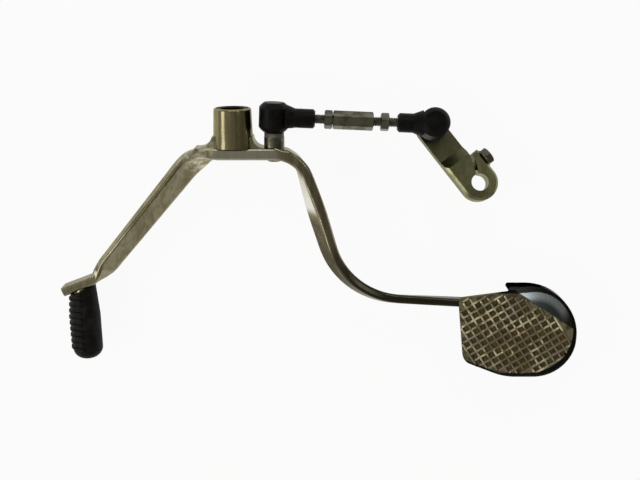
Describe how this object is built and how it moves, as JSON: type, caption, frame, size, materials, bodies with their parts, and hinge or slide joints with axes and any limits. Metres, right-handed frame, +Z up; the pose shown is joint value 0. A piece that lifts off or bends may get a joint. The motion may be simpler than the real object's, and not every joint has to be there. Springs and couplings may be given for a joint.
{
  "type": "heel-toe gear shift lever",
  "caption": "Motorbike heel-toe gear shift lever: a bent bar on a pivot tube with a ribbed toe peg, a waffle heel pad, and an adjustable ball-jointed link to a clamp arm.",
  "frame": {"origin": "middle of the pivot bore, on its axis", "axes": "+X back to the heel pad, +Y inboard along the pivot, +Z up"},
  "size_m": [0.338, 0.1831, 0.0338],
  "materials": {
    "plated_steel": "bright plated steel with a warm, slightly hazed sheen",
    "tread_steel": "pressed plated sheet, polished ridges and dull pits",
    "zinc_steel": "zinc plated, satin",
    "black_rubber": "matt moulded rubber",
    "black_moulding": "satin black moulding",
    "seat_plastic": "natural bearing plastic",
    "bearing_bronze": "plain sintered bronze"
  },
  "bodies": {
    "lever": {"lever_arm": "plated_steel", "pivot_tube": "plated_steel", "pivot_bush": "bearing_bronze", "dust_seal_inboard": "black_rubber", "dust_seal_outboard": "black_rubber", "toe_pin": "plated_steel", "toe_rubber": "black_rubber", "heel_pad": "tread_steel", "front_ball_stud": "zinc_steel"},
    "front_boot": {"front_boot": "black_rubber"},
    "front_end": {"front_rod_end": "black_moulding", "front_ball_seat": "seat_plastic", "front_shank": "zinc_steel", "front_lock_nut": "zinc_steel"},
    "turnbuckle": {"turnbuckle": "zinc_steel"},
    "rear_end": {"rear_rod_end": "black_moulding", "rear_ball_seat": "seat_plastic", "rear_shank": "zinc_steel", "rear_lock_nut": "zinc_steel"},
    "rear_boot": {"rear_boot": "black_rubber"},
    "shift_arm": {"shift_arm": "plated_steel", "rear_ball_stud": "zinc_steel", "pinch_bolt": "zinc_steel", "pinch_washer": "zinc_steel"}
  },
  "joints": [
    {"name": "front_swing", "type": "hinge", "parent": "lever", "child": "front_boot", "pos_m": [0.0253, 0.0063, 0], "axis": [0, 1, 0], "range_deg": [-125, 125]},
    {"name": "front_tilt", "type": "hinge", "parent": "front_boot", "child": "front_end", "pos_m": [0.0253, 0.0063, 0], "axis": [0, 0, 1], "range_deg": [-11, 16]},
    {"name": "adjuster_turn", "type": "hinge", "parent": "front_end", "child": "turnbuckle", "pos_m": [0.0253, 0.0063, 0], "axis": [0.999, -0.0436, 0], "range_deg": [-724.8, 724.8]},
    {"name": "link_extend", "type": "slide", "parent": "front_end", "child": "rear_end", "axis": [0.999, -0.0436, 0], "range_m": [-0.004, 0.004]},
    {"name": "rear_tilt", "type": "hinge", "parent": "rear_end", "child": "rear_boot", "pos_m": [0.12371, 0.002, 0], "axis": [0.041, 0.9388, -0.342], "range_deg": [-13.5, 13.5]},
    {"name": "rear_swing", "type": "hinge", "parent": "rear_boot", "child": "shift_arm", "pos_m": [0.12371, 0.002, 0], "axis": [0.0149, 0.3417, 0.9397], "range_deg": [-90, 160]}
  ],
  "couplings": [
    {"joint": "adjuster_turn", "follows": "link_extend", "rad_per_m": 3141.6}
  ]
}
